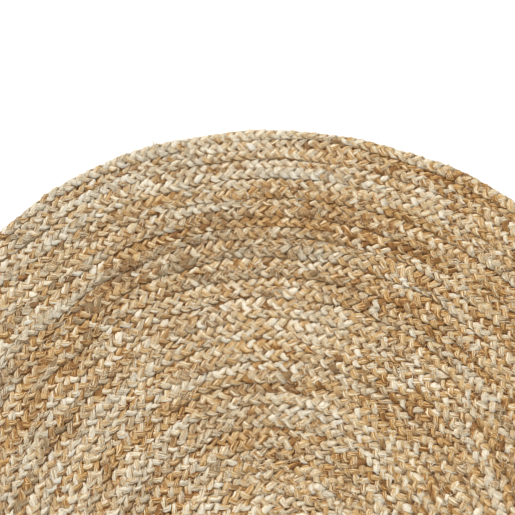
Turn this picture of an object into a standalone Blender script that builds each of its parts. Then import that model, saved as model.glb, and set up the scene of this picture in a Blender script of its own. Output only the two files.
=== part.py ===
"""Round braided rug: a flat three-strand jute braid, wound in a spiral and sewn edge to edge.

Metres, +Z up. The rug lies on its flat underside, and the origin is the middle of that face.
Each turn of the winding is a solid of its own, cut through at START_ANGLE, and the braid's last
stretch narrows to a tip against the turn before it. One sewing thread runs along the whole seam.
"""

import math

import bmesh
import bpy
from mathutils import Vector

TURNS = 41
BRAID_WIDTH = 0.0117
THICKNESS = 0.008
EDGE_LEAN = 0.0022  # each edge of the braid leans in by this much between the floor and the top
SEAM_GAP = 0.0003  # between neighbouring turns, and between one turn's end and the next one's start
EYE_RADIUS = 0.0075  # of the braid's middle line where the winding starts
START_ANGLE = math.radians(-90)  # the direction in which every turn starts
STEPS_PER_TURN = 32

END_LENGTH = 0.150  # the last stretch, past the last full turn
TIP_WIDTH = 0.006

THREAD_DIAMETER = 0.001
THREAD_CLEARANCE = 0.0003
THREAD_SIDES = 3

INNER_COLOUR = (0.56, 0.43, 0.27)
OUTER_COLOUR = (0.42, 0.26, 0.13)
THREAD_COLOUR = (0.66, 0.57, 0.42)
JUTE_ROUGHNESS = 0.92
THREAD_ROUGHNESS = 0.8

FULL_TURN = 2 * math.pi
STEP = FULL_TURN / STEPS_PER_TURN
PITCH = BRAID_WIDTH + SEAM_GAP
TURN_ENDS = FULL_TURN * TURNS


def middle_radius(turned):
    """Radius of the braid's middle line after it has turned this far."""
    return EYE_RADIUS + PITCH * turned / FULL_TURN


def on_winding(turned, outward):
    """Point on the faceted winding, outward of the braid's middle line."""
    step, share = divmod(turned / STEP, 1)
    corners = []
    for angle in (step * STEP, (step + 1) * STEP):
        radius = middle_radius(angle) + outward
        corners.append(Vector((radius * math.cos(START_ANGLE + angle), radius * math.sin(START_ANGLE + angle))))
    return corners[0].lerp(corners[1], share)


def stops(first, last):
    """The angles where a piece bends: its two ends, and each step of the winding between them."""
    whole = range(math.floor(first / STEP) + 1, math.ceil(last / STEP))
    return [first, *(step * STEP for step in whole), last]


def section(turned, profile):
    """One cross-section of a piece, from (outward, height) pairs."""
    return [on_winding(turned, outward).to_3d() + Vector((0, 0, height)) for outward, height in profile]


def braid_profile(width):
    """The braid's cross-section, flat above and below, from its fixed inner edge to the given width."""
    inner = -BRAID_WIDTH / 2
    outer = inner + width
    return [(inner, 0), (outer, 0), (outer - EDGE_LEAN, THICKNESS), (inner + EDGE_LEAN, THICKNESS)]


def end_clearance(turned):
    """Half the gap between two turns' ends, as an angle."""
    return SEAM_GAP / 2 / middle_radius(turned)


def turn_sections(first, last):
    ends = stops(first + end_clearance(first), last - end_clearance(last))
    return [section(turned, braid_profile(BRAID_WIDTH)) for turned in ends]


def end_sections():
    """The last stretch lies against the turn before it, and only its outer edge comes in."""
    first = TURN_ENDS + end_clearance(TURN_ENDS)
    last = TURN_ENDS + END_LENGTH / middle_radius(TURN_ENDS)
    sections = []
    for turned in stops(first, last):
        share = (turned - first) / (last - first)
        sections.append(section(turned, braid_profile(BRAID_WIDTH + share * (TIP_WIDTH - BRAID_WIDTH))))
    return sections


def thread_height():
    """Where the groove between two leaning edges is just wide enough for the thread and its clearance."""
    lean = EDGE_LEAN / THICKNESS
    half_width = (THREAD_DIAMETER / 2 + THREAD_CLEARANCE) / math.cos(math.atan(lean))
    return (half_width - SEAM_GAP / 2) / lean


def thread_sections():
    """The thread fills the seam from the start of the second turn to the braid's tip."""
    profile = []
    for side in range(THREAD_SIDES):
        angle = math.radians(-90) + FULL_TURN * side / THREAD_SIDES
        profile.append(
            (
                PITCH / 2 + THREAD_DIAMETER / 2 * math.cos(angle),
                thread_height() + THREAD_DIAMETER / 2 * math.sin(angle),
            )
        )
    last = TURN_ENDS - FULL_TURN + END_LENGTH / middle_radius(TURN_ENDS)
    return [section(turned, profile) for turned in stops(0, last)]


def box_middle(pieces):
    """Middle of the box around all the pieces, seen from above."""
    points = [point for sections in pieces.values() for ring in sections for point in ring]
    xs = [point.x for point in points]
    ys = [point.y for point in points]
    return Vector(((min(xs) + max(xs)) / 2, (min(ys) + max(ys)) / 2, 0))


def finish(name, colour, roughness):
    material = bpy.data.materials.new(name)
    material.use_nodes = True
    shader = material.node_tree.nodes["Principled BSDF"]
    shader.inputs["Base Color"].default_value = (*colour, 1)
    shader.inputs["Roughness"].default_value = roughness
    shader.inputs["Metallic"].default_value = 0
    return material


def add_piece(name, sections, parent, material):
    """A closed solid through the sections, with a flat cap at either end."""
    solid = bmesh.new()
    rings = [[solid.verts.new(point) for point in ring] for ring in sections]
    for ring, following in zip(rings, rings[1:]):
        for i, corner in enumerate(ring):
            after = (i + 1) % len(ring)
            solid.faces.new((corner, following[i], following[after], ring[after]))
    solid.faces.new(rings[0])
    solid.faces.new(reversed(rings[-1]))
    bmesh.ops.recalc_face_normals(solid, faces=solid.faces)
    mesh = bpy.data.meshes.new(name)
    solid.to_mesh(mesh)
    solid.free()
    mesh.materials.append(material)
    piece = bpy.data.objects.new(name, mesh)
    piece.parent = parent
    bpy.context.scene.collection.objects.link(piece)


def jute_colour(turn):
    """The braid runs from paler jute at the eye to warmer jute at the rim."""
    share = (turn - 1) / max(TURNS - 1, 1)
    return [inner + share * (outer - inner) for inner, outer in zip(INNER_COLOUR, OUTER_COLOUR)]


def build():
    for old in list(bpy.data.objects):
        bpy.data.objects.remove(old)

    pieces, finishes = {}, {}
    for turn in range(1, TURNS + 1):
        name = f"braid_turn_{turn:02d}"
        pieces[name] = turn_sections(FULL_TURN * (turn - 1), FULL_TURN * turn)
        finishes[name] = (jute_colour(turn), JUTE_ROUGHNESS)
    pieces["braid_outer_end"] = end_sections()
    finishes["braid_outer_end"] = (OUTER_COLOUR, JUTE_ROUGHNESS)
    pieces["sewing_thread"] = thread_sections()
    finishes["sewing_thread"] = (THREAD_COLOUR, THREAD_ROUGHNESS)

    pole = bpy.data.objects.new("winding_pole", None)
    pole.location = -box_middle(pieces)
    bpy.context.scene.collection.objects.link(pole)
    for name, sections in pieces.items():
        add_piece(name, sections, pole, finish(name, *finishes[name]))


build()
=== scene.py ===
import math
import bpy
import numpy as np
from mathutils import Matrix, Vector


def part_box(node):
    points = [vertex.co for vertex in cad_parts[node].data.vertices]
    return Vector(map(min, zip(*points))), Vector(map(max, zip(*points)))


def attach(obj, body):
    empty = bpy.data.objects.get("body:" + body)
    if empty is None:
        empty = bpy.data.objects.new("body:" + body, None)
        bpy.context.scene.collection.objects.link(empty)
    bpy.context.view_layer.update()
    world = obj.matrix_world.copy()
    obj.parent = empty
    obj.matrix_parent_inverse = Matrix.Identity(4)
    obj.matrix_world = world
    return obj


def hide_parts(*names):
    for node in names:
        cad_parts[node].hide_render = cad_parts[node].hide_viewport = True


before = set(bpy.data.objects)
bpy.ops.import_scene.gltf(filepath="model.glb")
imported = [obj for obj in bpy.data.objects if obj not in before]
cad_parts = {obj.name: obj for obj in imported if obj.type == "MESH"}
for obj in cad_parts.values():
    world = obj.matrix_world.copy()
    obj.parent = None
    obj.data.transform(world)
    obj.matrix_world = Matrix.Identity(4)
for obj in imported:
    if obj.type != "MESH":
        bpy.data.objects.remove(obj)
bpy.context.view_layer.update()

# one long braid wound from the eye outwards; readWinding adds what it measures on the CAD turns
winding = {"seamGap": 0.0003, "startAngle": math.radians(-90)}


def readWinding():
    names = sorted(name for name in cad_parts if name.startswith("braid_turn_"))
    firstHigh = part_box(names[0])[1]
    lastLow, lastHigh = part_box(names[-1])
    pitch = lastHigh.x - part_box(names[-2])[1].x
    # the radius grows all the way round, so a turn's box lies a quarter of the pitch off the pole
    middle = (lastLow + lastHigh) / 2
    winding["pole"] = (middle.x + pitch / 4, middle.y + pitch / 4)
    winding["names"] = names
    winding["pitch"] = pitch
    winding["thickness"] = lastHigh.z
    halfBraid = (pitch - winding["seamGap"]) / 2
    winding["eye"] = firstHigh.x - winding["pole"][0] - pitch / 4 - halfBraid
    rim = winding["eye"] + pitch * len(names) + halfBraid
    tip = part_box("braid_outer_end")[1].x - winding["pole"][0]
    winding["fullTurns"] = 2 * math.pi * len(names)
    winding["turned"] = winding["fullTurns"] + math.asin(tip / rim)
    print("winding:", len(names), "turns, pitch", round(pitch, 5), "m")


def runAt(turned):
    # length of braid wound by then
    return winding["eye"] * turned + winding["pitch"] * turned**2 / (4 * math.pi)


def turnedAt(run):
    eye, pitch = winding["eye"], winding["pitch"]
    return (np.sqrt(eye**2 + run * pitch / math.pi) - eye) * 2 * math.pi / pitch


def roundPole(radius, angle, up):
    x = winding["pole"][0] + radius * np.cos(angle)
    y = winding["pole"][1] + radius * np.sin(angle)
    return np.stack([x, y, np.broadcast_to(up, x.shape)], axis=-1)


def onWinding(run, outward, up):
    turned = turnedAt(run)
    radius = winding["eye"] + winding["pitch"] * turned / (2 * math.pi) + outward
    return roundPole(radius, winding["startAngle"] + turned, up)


def unit(vectors):
    return vectors / np.linalg.norm(vectors, axis=-1, keepdims=True)


def wander(places, seed, spacing):
    # smooth random values between -1 and 1, a new one for each spacing along
    steps = np.asarray(places) / spacing
    whole = np.floor(steps).astype(int)
    share = steps - whole
    share = share * share * (3 - 2 * share)
    values = np.random.default_rng(seed).uniform(-1, 1, whole.max() + 3)
    return values[whole] * (1 - share) + values[whole + 1] * share


# slow waves move everything in and out, so the rows squeeze together here and spread there
drift = {
    "waves": 14,
    "moves": 0.00034,  # each wave, to either side
    "lengths": (0.024, 0.055),  # from crest to crest on the way out
    "crests": (2, 25),  # round the rug
    "calmPerCrest": 0.012,  # a wave fades away inside this radius for each of its crests
    "hub": 0.004,  # inside this radius all points move alike
    # the rim is a little out of round: the direction in degrees, how wide, and how far out
    "outOfRound": [(129, 4.8, -0.0095), (87, 4.5, 0.0028), (215, 9, -0.004), (305, 8, 0.003)],
    "rimRadius": 0.5,
    "rimOnly": 6,  # more keeps it nearer the rim
    "pressed": 0.0006,  # what hangs lower than this is pressed flat by the floor
}


def drifted(points):
    rng = np.random.default_rng(3)
    x = points[..., 0] - winding["pole"][0]
    y = points[..., 1] - winding["pole"][1]
    radius = np.hypot(x, y)
    angle = np.arctan2(y, x)
    moved = np.zeros_like(radius)
    fewest, most = drift["crests"]
    for _ in range(drift["waves"]):
        length = rng.uniform(*drift["lengths"])
        crests = int(rng.integers(fewest, most + 1)) * (1 if rng.random() < 0.5 else -1)
        start = rng.uniform(0, 2 * math.pi)
        calm = np.clip(radius / (drift["calmPerCrest"] * abs(crests)), 0, 1)
        moved += drift["moves"] * calm * np.sin(2 * math.pi * radius / length + crests * angle + start)
    for direction, width, out in drift["outOfRound"]:
        away = (np.degrees(angle) - direction + 180) % 360 - 180
        moved += out * np.exp(-0.5 * (away / width) ** 2) * (radius / drift["rimRadius"]) ** drift["rimOnly"]
    share = 1 + moved / np.maximum(radius, drift["hub"])
    z = points[..., 2]
    pressed = drift["pressed"]
    z = np.where(z < pressed, pressed * np.exp((np.minimum(z, pressed) - pressed) / pressed), z)
    return np.stack([winding["pole"][0] + x * share, winding["pole"][1] + y * share, z], axis=-1)


def meshFromTubes(name, tubes, bakeRows, bakeColumns):
    # tubes is (tube, ring, side, xyz); each tube is closed with a flat cap at both ends
    tubeCount, ringCount, sides = tubes.shape[:3]
    corner = np.arange(tubeCount * ringCount * sides).reshape(tubeCount, ringCount, sides)
    here, later = corner[:, :-1], corner[:, 1:]
    quads = np.stack([here, np.roll(here, -1, 2), np.roll(later, -1, 2), later], axis=-1).reshape(-1, 4)
    firstCaps = corner[:, 0, ::-1].reshape(-1, sides)
    lastCaps = corner[:, -1].reshape(-1, sides)
    loops = np.concatenate([quads.ravel(), firstCaps.ravel(), lastCaps.ravel()])
    quadStarts = 4 * np.arange(len(quads))
    capStarts = 4 * len(quads) + sides * np.arange(2 * tubeCount)
    starts = np.concatenate([quadStarts, capStarts])
    mesh = bpy.data.meshes.new(name)
    mesh.vertices.add(corner.size)
    mesh.vertices.foreach_set("co", tubes.astype(np.float32).ravel())
    mesh.loops.add(len(loops))
    mesh.loops.foreach_set("vertex_index", loops.astype(np.int32))
    mesh.polygons.add(len(starts))
    mesh.polygons.foreach_set("loop_start", starts.astype(np.int32))
    mesh.update(calc_edges=True)
    mesh.shade_smooth()

    bakeMap = mesh.uv_layers.new(name="OFBake")
    places = bakePlaces(tubeCount, ringCount, sides, bakeRows, bakeColumns)
    bakeMap.uv.foreach_set("vector", places.astype(np.float32).ravel())
    piece = bpy.data.objects.new(name, mesh)
    bpy.context.scene.collection.objects.link(piece)
    return piece


def bakePlaces(tubeCount, ringCount, sides, bakeRows, bakeColumns):
    # the tubes lie unrolled side by side on the map, each cut into rows with a margin between
    margin = 0.04
    capSize = 0.1
    segment = np.arange(ringCount - 1)
    column = segment % bakeColumns
    rowsPerTube = -(-(ringCount - 1) // bakeColumns)
    row = np.arange(tubeCount)[:, None] * rowsPerTube + segment // bakeColumns
    left = np.broadcast_to(column / bakeColumns, row.shape)[..., None] + np.zeros(sides)
    right = left + 1 / bakeColumns
    lower = (row[..., None] + margin + (1 - 2 * margin) * np.arange(sides) / sides) / bakeRows
    upper = lower + (1 - 2 * margin) / sides / bakeRows
    u = np.stack([left, left, right, right], axis=-1)
    v = np.stack([lower, upper, upper, lower], axis=-1)
    sideWalls = np.stack([u, v], axis=-1).reshape(-1, 2)
    # all caps share one small place
    angle = 2 * math.pi * np.arange(sides) / sides
    cap = np.stack([np.cos(angle), np.sin(angle)], axis=-1) * capSize / bakeRows + 0.5 / bakeRows
    return np.concatenate([sideWalls, np.tile(cap, (2 * tubeCount, 1))])


def addAttribute(piece, name, kind, values):
    layer = piece.data.attributes.new(name, kind, "POINT")
    layer.data.foreach_set("vector" if kind == "FLOAT_VECTOR" else "value", values.astype(np.float32).ravel())


braid = {
    "lobe": 0.0118,  # from one visible lobe to the next in the same column
    "ringsPerPeriod": 13,
    "sides": 8,
    "lead": 0.010,  # the braid starts this far inside the first turn and fills the eye
    "startTaper": 0.012,
    "thinnest": 0.12,  # at the very ends, before the square root
    "endWidth": 0.5,
    # the way of one strand
    "sway": 0.0049,  # its middle swings this far to each side
    "squareSway": -0.05,
    "skewSway": 0.06,  # it lies further out above than below
    "rise": 0.0011,
    "plateau": 1.2,  # more keeps it level for longer at the top and the bottom
    "lateTop": math.radians(32),
    "turnOver": 0.47,
    # its section, half measures
    "lobeHalfWidth": 0.0050,
    "middleHalfWidth": 0.0040,
    "edgeHalfWidth": 0.0022,
    "halfHeight": 0.0030,
    "edgeThin": 0.32,
    "earlyPinch": math.radians(12),
    "middleSharp": 8,  # more keeps the change nearer the middle or the edge of the row
    "edgeSharp": 6,
    "endHalfWidth": 0.6,  # powers of the width left: the end loses more width than height
    "endHeight": 0.4,
    "fullness": 2.05,  # 2 is an ellipse, and more is squarer
    # its fibres
    "girthPerHalfWidth": 4.9,  # round one strand, over lobeHalfWidth
    "twistPerMetre": 110.0,
    "patternApart": 4.0,  # each strand takes another part of the fibre pattern
    # how uneven it is: how much, and over what length of braid
    "stretch": (0.0040, 0.045),
    "evenStart": 0.05,  # no stretch where the braid starts
    "rowShift": (0.0004, 0.12),
    "rowLift": (0.0006, 0.07),
    "rowWidth": (0.05, 0.09),
    "strandWidth": (0.14, 0.08),
    "everyOtherTurn": 0.0004,
    # the same from lobe to lobe: how much, and over how many lobes
    "lobeWidth": (0.20, 1),
    "lobeHeight": (0.16, 1),
    "lobeShift": (0.0005, 1),
    "lobeLift": (0.0006, 1),
    "lobeRoll": (0.26, 1),
    "lobeEarly": (0.20, 1.5),
    # tones, where 0 is the palest fibre and 1 the brownest: how much, and over what length of braid
    "tone": 0.48,
    "longBatch": (0.13, 1.3),
    "shortBatch": (0.15, 0.30),
    "strandTone": (0.15, 0.14),
    "lobeTone": (0.24, 0.035),
    "odd": 0.40,  # here and there one lobe is this much browner or paler than its neighbours
    "oddShare": 0.08,
    "oddFade": (2.4, 0.6),
    "sideWidth": 0.25,  # from the middle of the rug to most of the change
    "sideTone": 0.035,  # browner to the right
    "sideGrey": 0.20,  # and greyer to the left
    # browner two thirds of the way out and paler in the last rows: how much, at what radius, how wide
    "halfway": (0.17, 0.36, 0.085),
    "rim": (0.12, 0.42, 0.03),
    "grey": 0.12,
    "greyBatch": (0.35, 0.4),
    "greyStrand": (0.30, 0.14),
    "greyLobe": (0.45, 0.03),
    "greyMost": 0.9,
    # the painted shade in the grooves between the lobes, as shares of the thickness from its middle
    "grooveHalf": 0.04,
    "grooveFade": 0.25,
    "rimFade": 0.004,  # and not on the outside of the last turn
}


def uneven(name, places, seed):
    size, spacing = braid[name]
    return size * wander(places, seed, spacing)


def batchTone(run, spine):
    batch = uneven("longBatch", run, 70) + uneven("shortBatch", run, 71)
    x, y = spine[:, 0], spine[:, 1]
    aside = braid["sideTone"] * np.tanh(x / braid["sideWidth"])
    radius = np.hypot(x, y)
    browner, place, width = braid["halfway"]
    halfway = browner * np.exp(-((radius - place) / width) ** 2)
    paler, place, width = braid["rim"]
    rim = paler * np.clip((radius - place) / width, 0, 1)
    return braid["tone"] + batch + aside + halfway - rim


def strandTone(run, lobe, strand):
    single = uneven("strandTone", run, 72 + strand) + uneven("lobeTone", run, 76 + strand)
    chance = np.random.default_rng(100 + strand).random(int(lobe.max()) + 3)
    browner = chance < braid["oddShare"]
    paler = chance > 1 - braid["oddShare"]
    odd = braid["odd"] * (browner * 1.0 - paler)
    # full over the lobe's middle half and fading towards the next lobe
    steep, full = braid["oddFade"]
    near = 1 - np.clip(np.abs(lobe - np.round(lobe)) * steep - full, 0, 1)
    return single + odd[np.round(lobe).astype(int)] * near


def strandGrey(run, spine, strand):
    spread = uneven("greyBatch", run, 83)
    spread = spread + uneven("greyStrand", run, 80 + strand)
    spread = spread + uneven("greyLobe", run, 84 + strand)
    aside = braid["sideGrey"] * np.tanh(spine[:, 0] / braid["sideWidth"])
    return np.clip(braid["grey"] - aside + spread, 0, braid["greyMost"])


def braidWay():
    # what the three strands share, at every ring of the whole braid
    period = 3 * braid["lobe"]
    spacing = period / braid["ringsPerPeriod"]
    ringCount = int((runAt(winding["turned"]) + braid["lead"]) / spacing)
    plain = np.arange(ringCount) * spacing
    settled = np.clip(plain / braid["evenStart"], 0, 1)
    run = plain - braid["lead"] + uneven("stretch", plain, 11) * settled
    turned = turnedAt(run)
    spine = onWinding(run, 0, 0)
    ahead = unit(np.gradient(spine, axis=0))
    end = np.clip((turned - winding["fullTurns"]) / (winding["turned"] - winding["fullTurns"]), 0, 1)
    width = 1 - (1 - braid["endWidth"]) * end
    fromEnds = np.minimum(plain, plain[-1] - plain)
    return {
        "spacing": spacing,
        "periods": plain / period,
        "run": run,
        "turned": turned,
        "spine": spine,
        "outwards": np.cross(ahead, (0, 0, 1)),
        "width": width,
        "taper": np.clip(fromEnds / braid["startTaper"], braid["thinnest"], 1) ** 0.5,
        "rowWidth": width * (1 + uneven("rowWidth", run, 12)),
        "rowShift": uneven("rowShift", run, 13) - (1 - width) * winding["pitch"] / 2,
        "rowLift": uneven("rowLift", run, 14) + braid["everyOtherTurn"] * np.sin(turned / 2),
        "batch": batchTone(run, spine),
    }


def strandRings(way, strand):
    run, taper, width = way["run"], way["taper"], way["width"]
    phase = 2 * math.pi * (way["periods"] + strand / 3)
    # whole numbers fall on the middles of the lobes
    lobe = phase / (math.pi / 2) + 3.5
    phase = phase + uneven("lobeEarly", lobe, 16 + strand)

    # the strand swings from side to side once in each period, and over and under twice
    sway = np.sin(phase) + braid["squareSway"] * np.sin(3 * phase) + braid["skewSway"] * np.cos(3 * phase)
    outward = braid["sway"] * sway * way["rowWidth"] + way["rowShift"]
    outward = outward + uneven("lobeShift", lobe, 20 + strand)
    late = 2 * phase - braid["lateTop"]
    wave = np.tanh(braid["plateau"] * np.sin(late)) / math.tanh(braid["plateau"])
    up = winding["thickness"] / 2 - braid["rise"] * wave * taper
    up = up + way["rowLift"] + uneven("lobeLift", lobe, 30 + strand)
    centre = onWinding(run, outward, up)

    # it turns over at each side of the row
    along = unit(np.gradient(centre, axis=0))
    roll = braid["turnOver"] * np.sin(late) - phase + uneven("lobeRoll", lobe, 40 + strand)
    normal = np.sin(roll)[:, None] * way["outwards"] + np.cos(roll)[:, None] * np.array([0, 0, 1.0])
    normal = unit(normal - along * np.sum(normal * along, axis=1, keepdims=True))

    # narrower where it crosses the middle of the row, and pinched where it turns back at the seam
    middle = np.cos(phase) ** braid["middleSharp"]
    edge = np.sin(phase + braid["earlyPinch"]) ** braid["edgeSharp"]
    half = braid["lobeHalfWidth"] + (braid["middleHalfWidth"] - braid["lobeHalfWidth"]) * middle
    half = half + (braid["edgeHalfWidth"] - braid["lobeHalfWidth"]) * edge
    half = half * (1 + uneven("lobeWidth", lobe, 50 + strand)) * (1 + uneven("strandWidth", run, 90 + strand))
    height = braid["halfHeight"] * (1 + uneven("lobeHeight", lobe, 60 + strand))
    return {
        "centres": centre,
        "acrosses": np.cross(along, normal),
        "normals": normal,
        "halves": half * taper * width ** braid["endHalfWidth"],
        "heights": height * (1 - braid["edgeThin"] * edge) * taper * width ** braid["endHeight"],
        "tones": way["batch"] + strandTone(run, lobe, strand),
        "greys": strandGrey(run, way["spine"], strand),
    }


def ringPoints(rings):
    # an oval, a little squarer than an ellipse, round every ring's centre
    angle = 2 * math.pi * np.arange(braid["sides"]) / braid["sides"]
    power = 2 / braid["fullness"]
    side = np.sign(np.cos(angle)) * np.abs(np.cos(angle)) ** power
    top = np.sign(np.sin(angle)) * np.abs(np.sin(angle)) ** power
    across = rings["acrosses"][..., None, :] * (rings["halves"][..., None] * side)[..., None]
    above = rings["normals"][..., None, :] * (rings["heights"][..., None] * top)[..., None]
    return rings["centres"][..., None, :] + across + above


def paintedShadeShare(points, lastTurned):
    # painted shade: the middle of the thickness is hidden between the lobes, so it is painted darker and
    # browner there, but not round the rim
    away = np.abs(points[..., 2] / winding["thickness"] - 0.5)
    paintedShadeAmount = 1 - np.clip((away - braid["grooveHalf"]) / braid["grooveFade"], 0, 1)
    outside = winding["eye"] + winding["pitch"] * (lastTurned / (2 * math.pi) - 1)
    fromPole = np.hypot(points[..., 0] - winding["pole"][0], points[..., 1] - winding["pole"][1])
    return paintedShadeAmount * (1 - np.clip((fromPole - outside) / braid["rimFade"], 0, 1))


def fibrePlaces(run, spacing):
    # places in the fibre pattern: along a strand, and round it with the twist of its fibres
    sides = braid["sides"]
    girth = braid["girthPerHalfWidth"] * braid["lobeHalfWidth"]
    along = (run - run[0])[None, :, None] + braid["patternApart"] * np.arange(3)[:, None, None]
    along = np.broadcast_to(along, (3, len(run), sides))
    angle = 2 * math.pi * np.arange(sides) / sides
    twisted = angle[None, None, :] + braid["twistPerMetre"] * along
    radius = girth / (2 * math.pi)
    places = np.stack([along, radius * np.cos(twisted), radius * np.sin(twisted)], axis=-1)
    # as many rows on the bake map as keep a row as wide as the strand is round
    segments = len(run) - 1
    rowsPerStrand = max(1, round(math.sqrt(3 * spacing * segments / girth) / 3))
    columns = -(-segments // rowsPerStrand)
    rows = 3 * -(-segments // columns)
    return places, rows, columns


def makeBraid(material):
    way = braidWay()
    strands = [strandRings(way, strand) for strand in range(3)]
    rings = {name: np.stack([each[name] for each in strands]) for name in strands[0]}
    points = drifted(ringPoints(rings))
    run, turned = way["run"], way["turned"]
    # painted shade for the grooves between the lobes
    paintedShadeAmount = paintedShadeShare(points, turned[-1])
    turnEnds = [2 * math.pi * (turn + 1) for turn in range(len(winding["names"]))]
    edges = [turned[0]] + turnEnds + [turned[-1]]
    nodes = winding["names"] + ["braid_outer_end"]
    triangles = 0
    for node, low, high in zip(nodes, edges, edges[1:]):
        first = int(np.searchsorted(turned, low))
        last = min(int(np.searchsorted(turned, high)), len(run) - 1)
        span = slice(first, last + 1)
        places, rows, columns = fibrePlaces(run[span], way["spacing"])
        piece = meshFromTubes(node.replace("braid", "plaited"), points[:, span], rows, columns)
        addAttribute(piece, "fibre", "FLOAT_VECTOR", places)
        addAttribute(piece, "tone", "FLOAT", rings["tones"][:, span, None] * np.ones(braid["sides"]))
        addAttribute(piece, "grey", "FLOAT", rings["greys"][:, span, None] * np.ones(braid["sides"]))
        # painted shade: darker and browner in the grooves between the lobes, kept on the vertices
        addAttribute(piece, "painted_shade", "FLOAT", paintedShadeAmount[:, span])
        piece.data.materials.append(material)
        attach(piece, "root")
        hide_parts(node)
        triangles += 2 * len(piece.data.polygons)
    print("braid:", len(nodes), "pieces,", triangles, "triangles")
    return rings


def thinTubes(paths, radii, sides):
    # tubes with few sides along many short paths: (tube, point, xyz)
    nearlyUp = (0.02, 0.01, 1.0)
    along = unit(np.gradient(paths, axis=1))
    sideways = unit(np.cross(along, nearlyUp))
    upwards = np.cross(sideways, along)
    angle = 2 * math.pi * np.arange(sides) / sides + math.pi / 2
    around = sideways[:, :, None] * np.cos(angle)[:, None] + upwards[:, :, None] * np.sin(angle)[:, None]
    return paths[:, :, None] + around * radii[..., None, None]


def addFibrePlaces(piece, paths, radii, sides):
    # how far along and around each tube, with every tube in another part of the pattern
    patternApart = 0.013
    steps = np.linalg.norm(np.diff(paths, axis=1), axis=2)
    along = np.concatenate([np.zeros((len(paths), 1)), np.cumsum(steps, axis=1)], axis=1)
    along = along + patternApart * np.arange(len(paths))[:, None]
    angle = 2 * math.pi * np.arange(sides) / sides
    x = np.broadcast_to(along[..., None], (*along.shape, sides))
    y = radii[..., None] * np.cos(angle)
    z = radii[..., None] * np.sin(angle)
    addAttribute(piece, "fibre", "FLOAT_VECTOR", np.stack([x, y, z], axis=-1))


# short bridges of thread across the seams, above and below; what joins them is inside the braid
stitches = {
    "step": 0.0028,
    "reach": 0.0019,
    "radius": 0.00026,
    "radiusSpread": (0.8, 1.25),
    "sides": 3,
    "stray": 0.25,  # share of the step and of the reach
    "slant": (0.0002, 0.00025),  # on average, and how much it varies
    "heightSpread": 0.0003,
    "roughness": 0.7,
    "colours": [(0.0, (196, 168, 122)), (0.85, (238, 224, 194))],
    # the name, the height, one stitch in how many, and from where to where as shares of the seam
    "rows": [("inner", 0.0058, 1, 0, 0.5), ("outer", 0.0058, 1, 0.5, 1), ("below", 0.0018, 3, 0, 1)],
}


def makeStitches(material):
    seamRun = runAt(winding["turned"] - 2 * math.pi)
    stray = stitches["stray"]
    rng = np.random.default_rng(5)
    total = 0
    for name, height, every, first, last in stitches["rows"]:
        run = np.arange(first * seamRun, last * seamRun, stitches["step"] * every)
        count = len(run)
        run = run + rng.uniform(-stray, stray, count) * stitches["step"]
        slant = rng.normal(*stitches["slant"], count)
        turned = turnedAt(np.clip(run, 0, None))
        ends = []
        for side in (-1, 1):
            reach = side * stitches["reach"] * (1 + rng.uniform(-stray, stray, count))
            radius = winding["eye"] + winding["pitch"] * (turned / (2 * math.pi) + 0.5) + reach
            angle = winding["startAngle"] + turned + side * slant / radius
            ends.append(roundPole(radius, angle, height + rng.normal(0, stitches["heightSpread"], count)))
        paths = drifted(np.stack(ends, axis=1))
        radii = stitches["radius"] * rng.uniform(*stitches["radiusSpread"], (count, 1)) * np.ones((1, 2))
        tubes = thinTubes(paths, radii, stitches["sides"])
        piece = meshFromTubes(f"sewing_stitches_{name}", tubes, count, 1)
        shade = rng.uniform(0, 1, count)[:, None, None] * np.ones(tubes.shape[:3])
        addAttribute(piece, "tone", "FLOAT", shade)
        addFibrePlaces(piece, paths, radii, stitches["sides"])
        piece.data.materials.append(material)
        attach(piece, "root")
        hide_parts("sewing_thread")
        total += count
    print("stitches:", total)


# thin bundles of fibre that stand off the braid
fuzz = {
    "count": 26000,
    "pieces": 3,
    "points": 4,  # along each fibre
    "sides": 3,
    "radius": 0.00027,
    "radiusSpread": (0.6, 1.6),
    "tipThinner": 0.55,
    "lengths": (0.0025, 0.008),
    "fromHeight": 0.60,  # as a share of the thickness: they start on the upper lobes
    "across": 0.7,
    "headingSpread": 0.7,
    "bendSpread": 1.9,
    "crests": (0.0005, 0.0014),  # how high they stand, before crestSpread
    "crestSpread": (0.5, 1.5),  # the least, and a power that keeps most of them low
    "sunk": 0.0003,
    "archFrom": 0.15,  # as shares of half a wave
    "archOver": 0.80,
    "archPower": 0.7,
    "paler": 0.60,
    "toneSpread": 0.12,
    "roughness": 0.5,
    # more of them in some stretches than in others: how much, and over how many rings
    "evenly": 0.45,
    "tufts": [(0.5, 60), (0.5, 9)],
    "fewest": 0.05,
}


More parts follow.
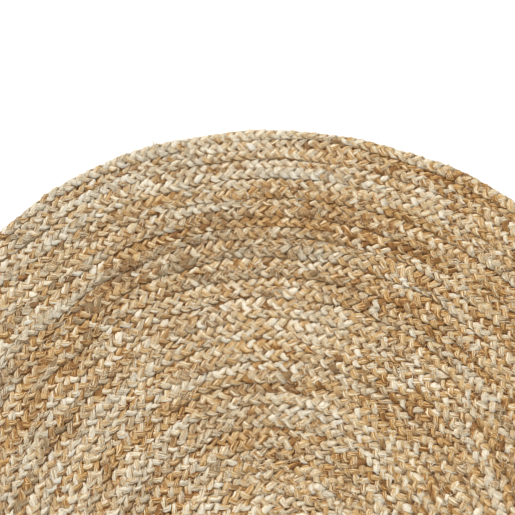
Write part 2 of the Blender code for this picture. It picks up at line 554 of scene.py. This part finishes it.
def makeFuzz(material, rings):
    # loose fibres start inside a lobe, arch over it and lie down again
    centres, heights = rings["centres"], rings["heights"]
    rng = np.random.default_rng(8)
    onTop = np.argwhere(centres[..., 2] > winding["thickness"] * fuzz["fromHeight"])
    tufts = fuzz["evenly"]
    for seed, (size, spacing) in enumerate(fuzz["tufts"], 95):
        tufts = tufts + size * wander(onTop[:, 1], seed, spacing)
    tufts = np.clip(tufts, fuzz["fewest"], None)
    count = fuzz["count"] // fuzz["pieces"]
    share = np.linspace(0, 1, fuzz["points"])
    arch = np.sin(math.pi * (fuzz["archFrom"] + fuzz["archOver"] * share)) ** fuzz["archPower"]
    total = 0
    for part in range(fuzz["pieces"]):
        pick = onTop[rng.choice(len(onTop), count, p=tufts / tufts.sum())]
        strand = pick[:, 0]
        ring = np.clip(pick[:, 1], 1, centres.shape[1] - 2)
        along = unit(centres[strand, ring + 1] - centres[strand, ring - 1])
        aside = rings["halves"][strand, ring] * rng.uniform(-fuzz["across"], fuzz["across"], count)
        base = centres[strand, ring] + rings["acrosses"][strand, ring] * aside[:, None]
        heading = np.arctan2(along[:, 1], along[:, 0]) + rng.normal(0, fuzz["headingSpread"], count)
        heading = heading + math.pi * rng.integers(0, 2, count)
        bend = rng.normal(0, fuzz["bendSpread"], count)
        length = rng.uniform(*fuzz["lengths"], count)
        least, power = fuzz["crestSpread"]
        crest = rng.uniform(*fuzz["crests"], count) * (rng.random(count) ** power + least)
        turnedBy = heading[:, None] + bend[:, None] * share
        step = (length / (fuzz["points"] - 1))[:, None]
        x = base[:, 0, None] + np.cumsum(np.cos(turnedBy) * step, axis=1) - np.cos(turnedBy[:, :1]) * step
        y = base[:, 1, None] + np.cumsum(np.sin(turnedBy) * step, axis=1) - np.sin(turnedBy[:, :1]) * step
        surface = base[:, 2] + heights[strand, ring]
        z = surface[:, None] - fuzz["sunk"] + crest[:, None] * arch
        paths = drifted(np.stack([x, y, z], axis=-1))
        thick = fuzz["radius"] * rng.uniform(*fuzz["radiusSpread"], count)[:, None]
        thick = thick * (1 - fuzz["tipThinner"] * share)
        tubes = thinTubes(paths, thick, fuzz["sides"])
        made = meshFromTubes(f"loose_fibres_{part + 1}", tubes, count, fuzz["points"] - 1)
        tone = rings["tones"][strand, ring] - fuzz["paler"] + rng.normal(0, fuzz["toneSpread"], count)
        tone = np.clip(tone, 0, 1)
        addAttribute(made, "tone", "FLOAT", np.broadcast_to(tone[:, None, None], tubes.shape[:3]))
        addFibrePlaces(made, paths, thick, fuzz["sides"])
        made.data.materials.append(material)
        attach(made, "root")
        total += 2 * len(made.data.polygons)
    print("loose fibres:", fuzz["count"], "and", total, "triangles")


def addNode(tree, kind, settings=None, values=None, links=None):
    node = tree.nodes.new(kind)
    for name, value in (settings or {}).items():
        setattr(node, name, value)
    for name, value in (values or {}).items():
        node.inputs[name].default_value = value
    for name, source in (links or {}).items():
        tree.links.new(source, node.inputs[name])
    return node


def readAttribute(tree, name):
    return addNode(tree, "ShaderNodeAttribute", {"attribute_name": name}).outputs


def timesPlus(tree, value, factor, more):
    # value times factor, plus more
    node = addNode(tree, "ShaderNodeMath", {"operation": "MULTIPLY_ADD"}, {1: factor}, {0: value, 2: more})
    return node.outputs[0]


def mixColours(tree, blend, factor, first, second):
    colours = {"data_type": "RGBA", "blend_type": blend}
    node = addNode(tree, "ShaderNodeMix", colours, links={0: factor, 6: first})
    if isinstance(second, tuple):
        node.inputs[7].default_value = (*second, 1)
    else:
        tree.links.new(second, node.inputs[7])
    return node.outputs[2]


def colourRamp(tree, factor, stops):
    node = addNode(tree, "ShaderNodeValToRGB", links={"Fac": factor})
    elements = node.color_ramp.elements
    while len(elements) < len(stops):
        elements.new(0.5)
    for element, (place, colour) in zip(elements, stops):
        element.position = place
        element.color = (*linear(*colour), 1)
    return node.outputs["Color"]


def linear(red, green, blue):
    # from a 0 to 255 colour as people mix it on screen
    shares = [value / 255 for value in (red, green, blue)]
    return tuple(share / 12.92 if share < 0.0404 else ((share + 0.055) / 1.055) ** 2.4 for share in shares)


# single fibres and bundles of them, as the settings of two noises
fibreNoise = {
    "single": {"Scale": 1.0, "Detail": 5.0},
    "bundled": {"Scale": 0.3, "Detail": 2.0, "Roughness": 0.5},
    "bundledShare": 0.6,
    "ends": {"From Min": 0.58, "From Max": 1.02},  # the two together hardly ever leave this range
}


def fibreGroup():
    # fine streaks along a strand, from 0 to 1
    group = bpy.data.node_groups.new("juteFibres", "ShaderNodeTree")
    face = group.interface
    face.new_socket("Place", in_out="INPUT", socket_type="NodeSocketVector")
    for name, value in (("Along", 90.0), ("Across", 2600.0), ("Softness", 0.7)):
        face.new_socket(name, in_out="INPUT", socket_type="NodeSocketFloat").default_value = value
    face.new_socket("Streak", in_out="OUTPUT", socket_type="NodeSocketFloat")
    given = group.nodes.new("NodeGroupInput").outputs
    scales = {"X": given["Along"], "Y": given["Across"], "Z": given["Across"]}
    scale = addNode(group, "ShaderNodeCombineXYZ", links=scales).outputs[0]
    product = {"operation": "MULTIPLY"}
    place = addNode(group, "ShaderNodeVectorMath", product, links={0: given["Place"], 1: scale}).outputs[0]
    softened = {"Vector": place, "Roughness": given["Softness"]}
    fine = addNode(group, "ShaderNodeTexNoise", values=fibreNoise["single"], links=softened)
    coarse = addNode(group, "ShaderNodeTexNoise", values=fibreNoise["bundled"], links={"Vector": place})
    both = timesPlus(group, coarse.outputs["Fac"], fibreNoise["bundledShare"], fine.outputs["Fac"])
    spread = addNode(group, "ShaderNodeMapRange", values=fibreNoise["ends"], links={"Value": both})
    out = group.nodes.new("NodeGroupOutput")
    group.links.new(spread.outputs[0], out.inputs["Streak"])
    return group


def fibreStreaks(tree, fibres, along, across):
    links = {"Place": readAttribute(tree, "fibre")["Vector"]}
    node = addNode(tree, "ShaderNodeGroup", {"node_tree": fibres}, {"Along": along, "Across": across}, links)
    return node.outputs["Streak"]


def newMaterial(name, roughness, specular):
    material = bpy.data.materials.new(name)
    material.use_nodes = True
    tree = material.node_tree
    shader = tree.nodes["Principled BSDF"]
    shader.inputs["Roughness"].default_value = roughness
    shader.inputs["Specular IOR Level"].default_value = specular
    return material, tree, shader


jute = {
    "roughness": 0.5,
    "specular": 0.5,
    "streakAlong": 75.0,
    "streakAcross": 900.0,
    "streakContrast": 1.40,
    "bumpStrength": 0.8,
    "bumpDistance": 0.0010,
    # painted shade: a darker, browner colour for the grooves between the lobes
    "paintedShadeTint": (0.76, 0.46, 0.16),  # in the grooves, over the fibre's own colour
    # from the palest fibre to the brownest, as places on a ramp
    "colours": [
        (0.0, (240, 229, 206)),
        (0.30, (221, 200, 161)),
        (0.55, (209, 173, 116)),
        (0.78, (198, 151, 82)),
        (0.90, (176, 124, 56)),
        (1.0, (138, 91, 36)),
    ],
    "greyColours": [(0.0, (236, 229, 213)), (0.5, (209, 197, 171)), (1.0, (156, 134, 97))],
}


def braidMaterial(fibres):
    material, tree, shader = newMaterial("plaited jute", jute["roughness"], jute["specular"])
    streak = fibreStreaks(tree, fibres, jute["streakAlong"], jute["streakAcross"])
    contrast = jute["streakContrast"]
    shifted = timesPlus(tree, streak, -contrast, readAttribute(tree, "tone")["Fac"])
    add = {"operation": "ADD"}
    centred = addNode(tree, "ShaderNodeMath", add, {1: contrast / 2}, {0: shifted}).outputs[0]
    warm = colourRamp(tree, centred, jute["colours"])
    cool = colourRamp(tree, centred, jute["greyColours"])
    mixed = mixColours(tree, "MIX", readAttribute(tree, "grey")["Fac"], warm, cool)
    # painted shade: this multiply darkens and browns the grooves between the lobes
    shaded = mixColours(tree, "MULTIPLY", readAttribute(tree, "painted_shade")["Fac"], mixed, jute["paintedShadeTint"])
    tree.links.new(shaded, shader.inputs["Base Color"])
    low = {"Strength": jute["bumpStrength"], "Distance": jute["bumpDistance"]}
    bump = addNode(tree, "ShaderNodeBump", values=low, links={"Height": streak})
    tree.links.new(bump.outputs[0], shader.inputs["Normal"])
    return material


# the thread and the loose fibres: each has its own tone, and a faint streak
thin = {"specular": 0.4, "streakAlong": 300.0, "streakAcross": 2500.0, "streakContrast": 0.15}


def thinMaterial(name, fibres, roughness, stops):
    material, tree, shader = newMaterial(name, roughness, thin["specular"])
    streak = fibreStreaks(tree, fibres, thin["streakAlong"], thin["streakAcross"])
    streaked = timesPlus(tree, streak, -thin["streakContrast"], readAttribute(tree, "tone")["Fac"])
    tree.links.new(colourRamp(tree, streaked, stops), shader.inputs["Base Color"])
    return material


studio = {
    "floorSize": 8,
    "floorColour": (0.92, 0.92, 0.92, 1),
    "floorRoughness": 0.9,
    "floorSpecular": 0.1,
    "skyStrength": 0.70,
    "sunStrength": 2.35,
    "sunSoftness": math.radians(5),
    "sunTurn": (math.radians(-38), math.radians(-30), 0),
    "filterWidth": 0.7,
}


def makeStage():
    bpy.ops.object.select_all(action="DESELECT")
    bpy.ops.mesh.primitive_plane_add(size=studio["floorSize"], location=(0, 0, 0))
    floor = bpy.context.object
    floor.name = "floor"
    paper, _, shader = newMaterial("pale floor", studio["floorRoughness"], studio["floorSpecular"])
    shader.inputs["Base Color"].default_value = studio["floorColour"]
    floor.data.materials.append(paper)

    world = bpy.data.worlds.new("studio")
    bpy.context.scene.world = world
    world.use_nodes = True
    back = world.node_tree.nodes["Background"]
    back.inputs["Color"].default_value = (1, 1, 1, 1)
    back.inputs["Strength"].default_value = studio["skyStrength"]

    bpy.ops.object.light_add(type="SUN", location=(-1, 1, 2))
    sun = bpy.context.object
    sun.name = "key"
    sun.data.energy = studio["sunStrength"]
    sun.data.angle = studio["sunSoftness"]
    sun.rotation_euler = studio["sunTurn"]
    bpy.context.scene.view_settings.view_transform = "Standard"
    bpy.context.scene.cycles.filter_width = studio["filterWidth"]
    print("studio: floor, sky and sun")


# the camera stands about a metre above the far half of the rug and looks steeply down
view = {"aside": -0.0151, "forward": 0.0772, "height": 1.0084, "elevation": 75, "lens": 62.9}


def makeCamera():
    camera = bpy.data.cameras.new("camera")
    camera.lens = view["lens"]
    camera.sensor_width = 36
    camera.clip_start = 0.01  # lets it come close
    holder = bpy.data.objects.new("camera", camera)
    holder.location = (view["aside"], view["forward"], view["height"])
    holder.rotation_euler = (math.radians(90 - view["elevation"]), 0, 0)
    bpy.context.scene.collection.objects.link(holder)
    bpy.context.scene.camera = holder
    print("camera:", view["height"], "m up")


readWinding()
makeCamera()
makeStage()
fibres = fibreGroup()
rings = makeBraid(braidMaterial(fibres))
makeStitches(thinMaterial("sewing thread", fibres, stitches["roughness"], stitches["colours"]))
makeFuzz(thinMaterial("loose jute fibres", fibres, fuzz["roughness"], jute["colours"]), rings)
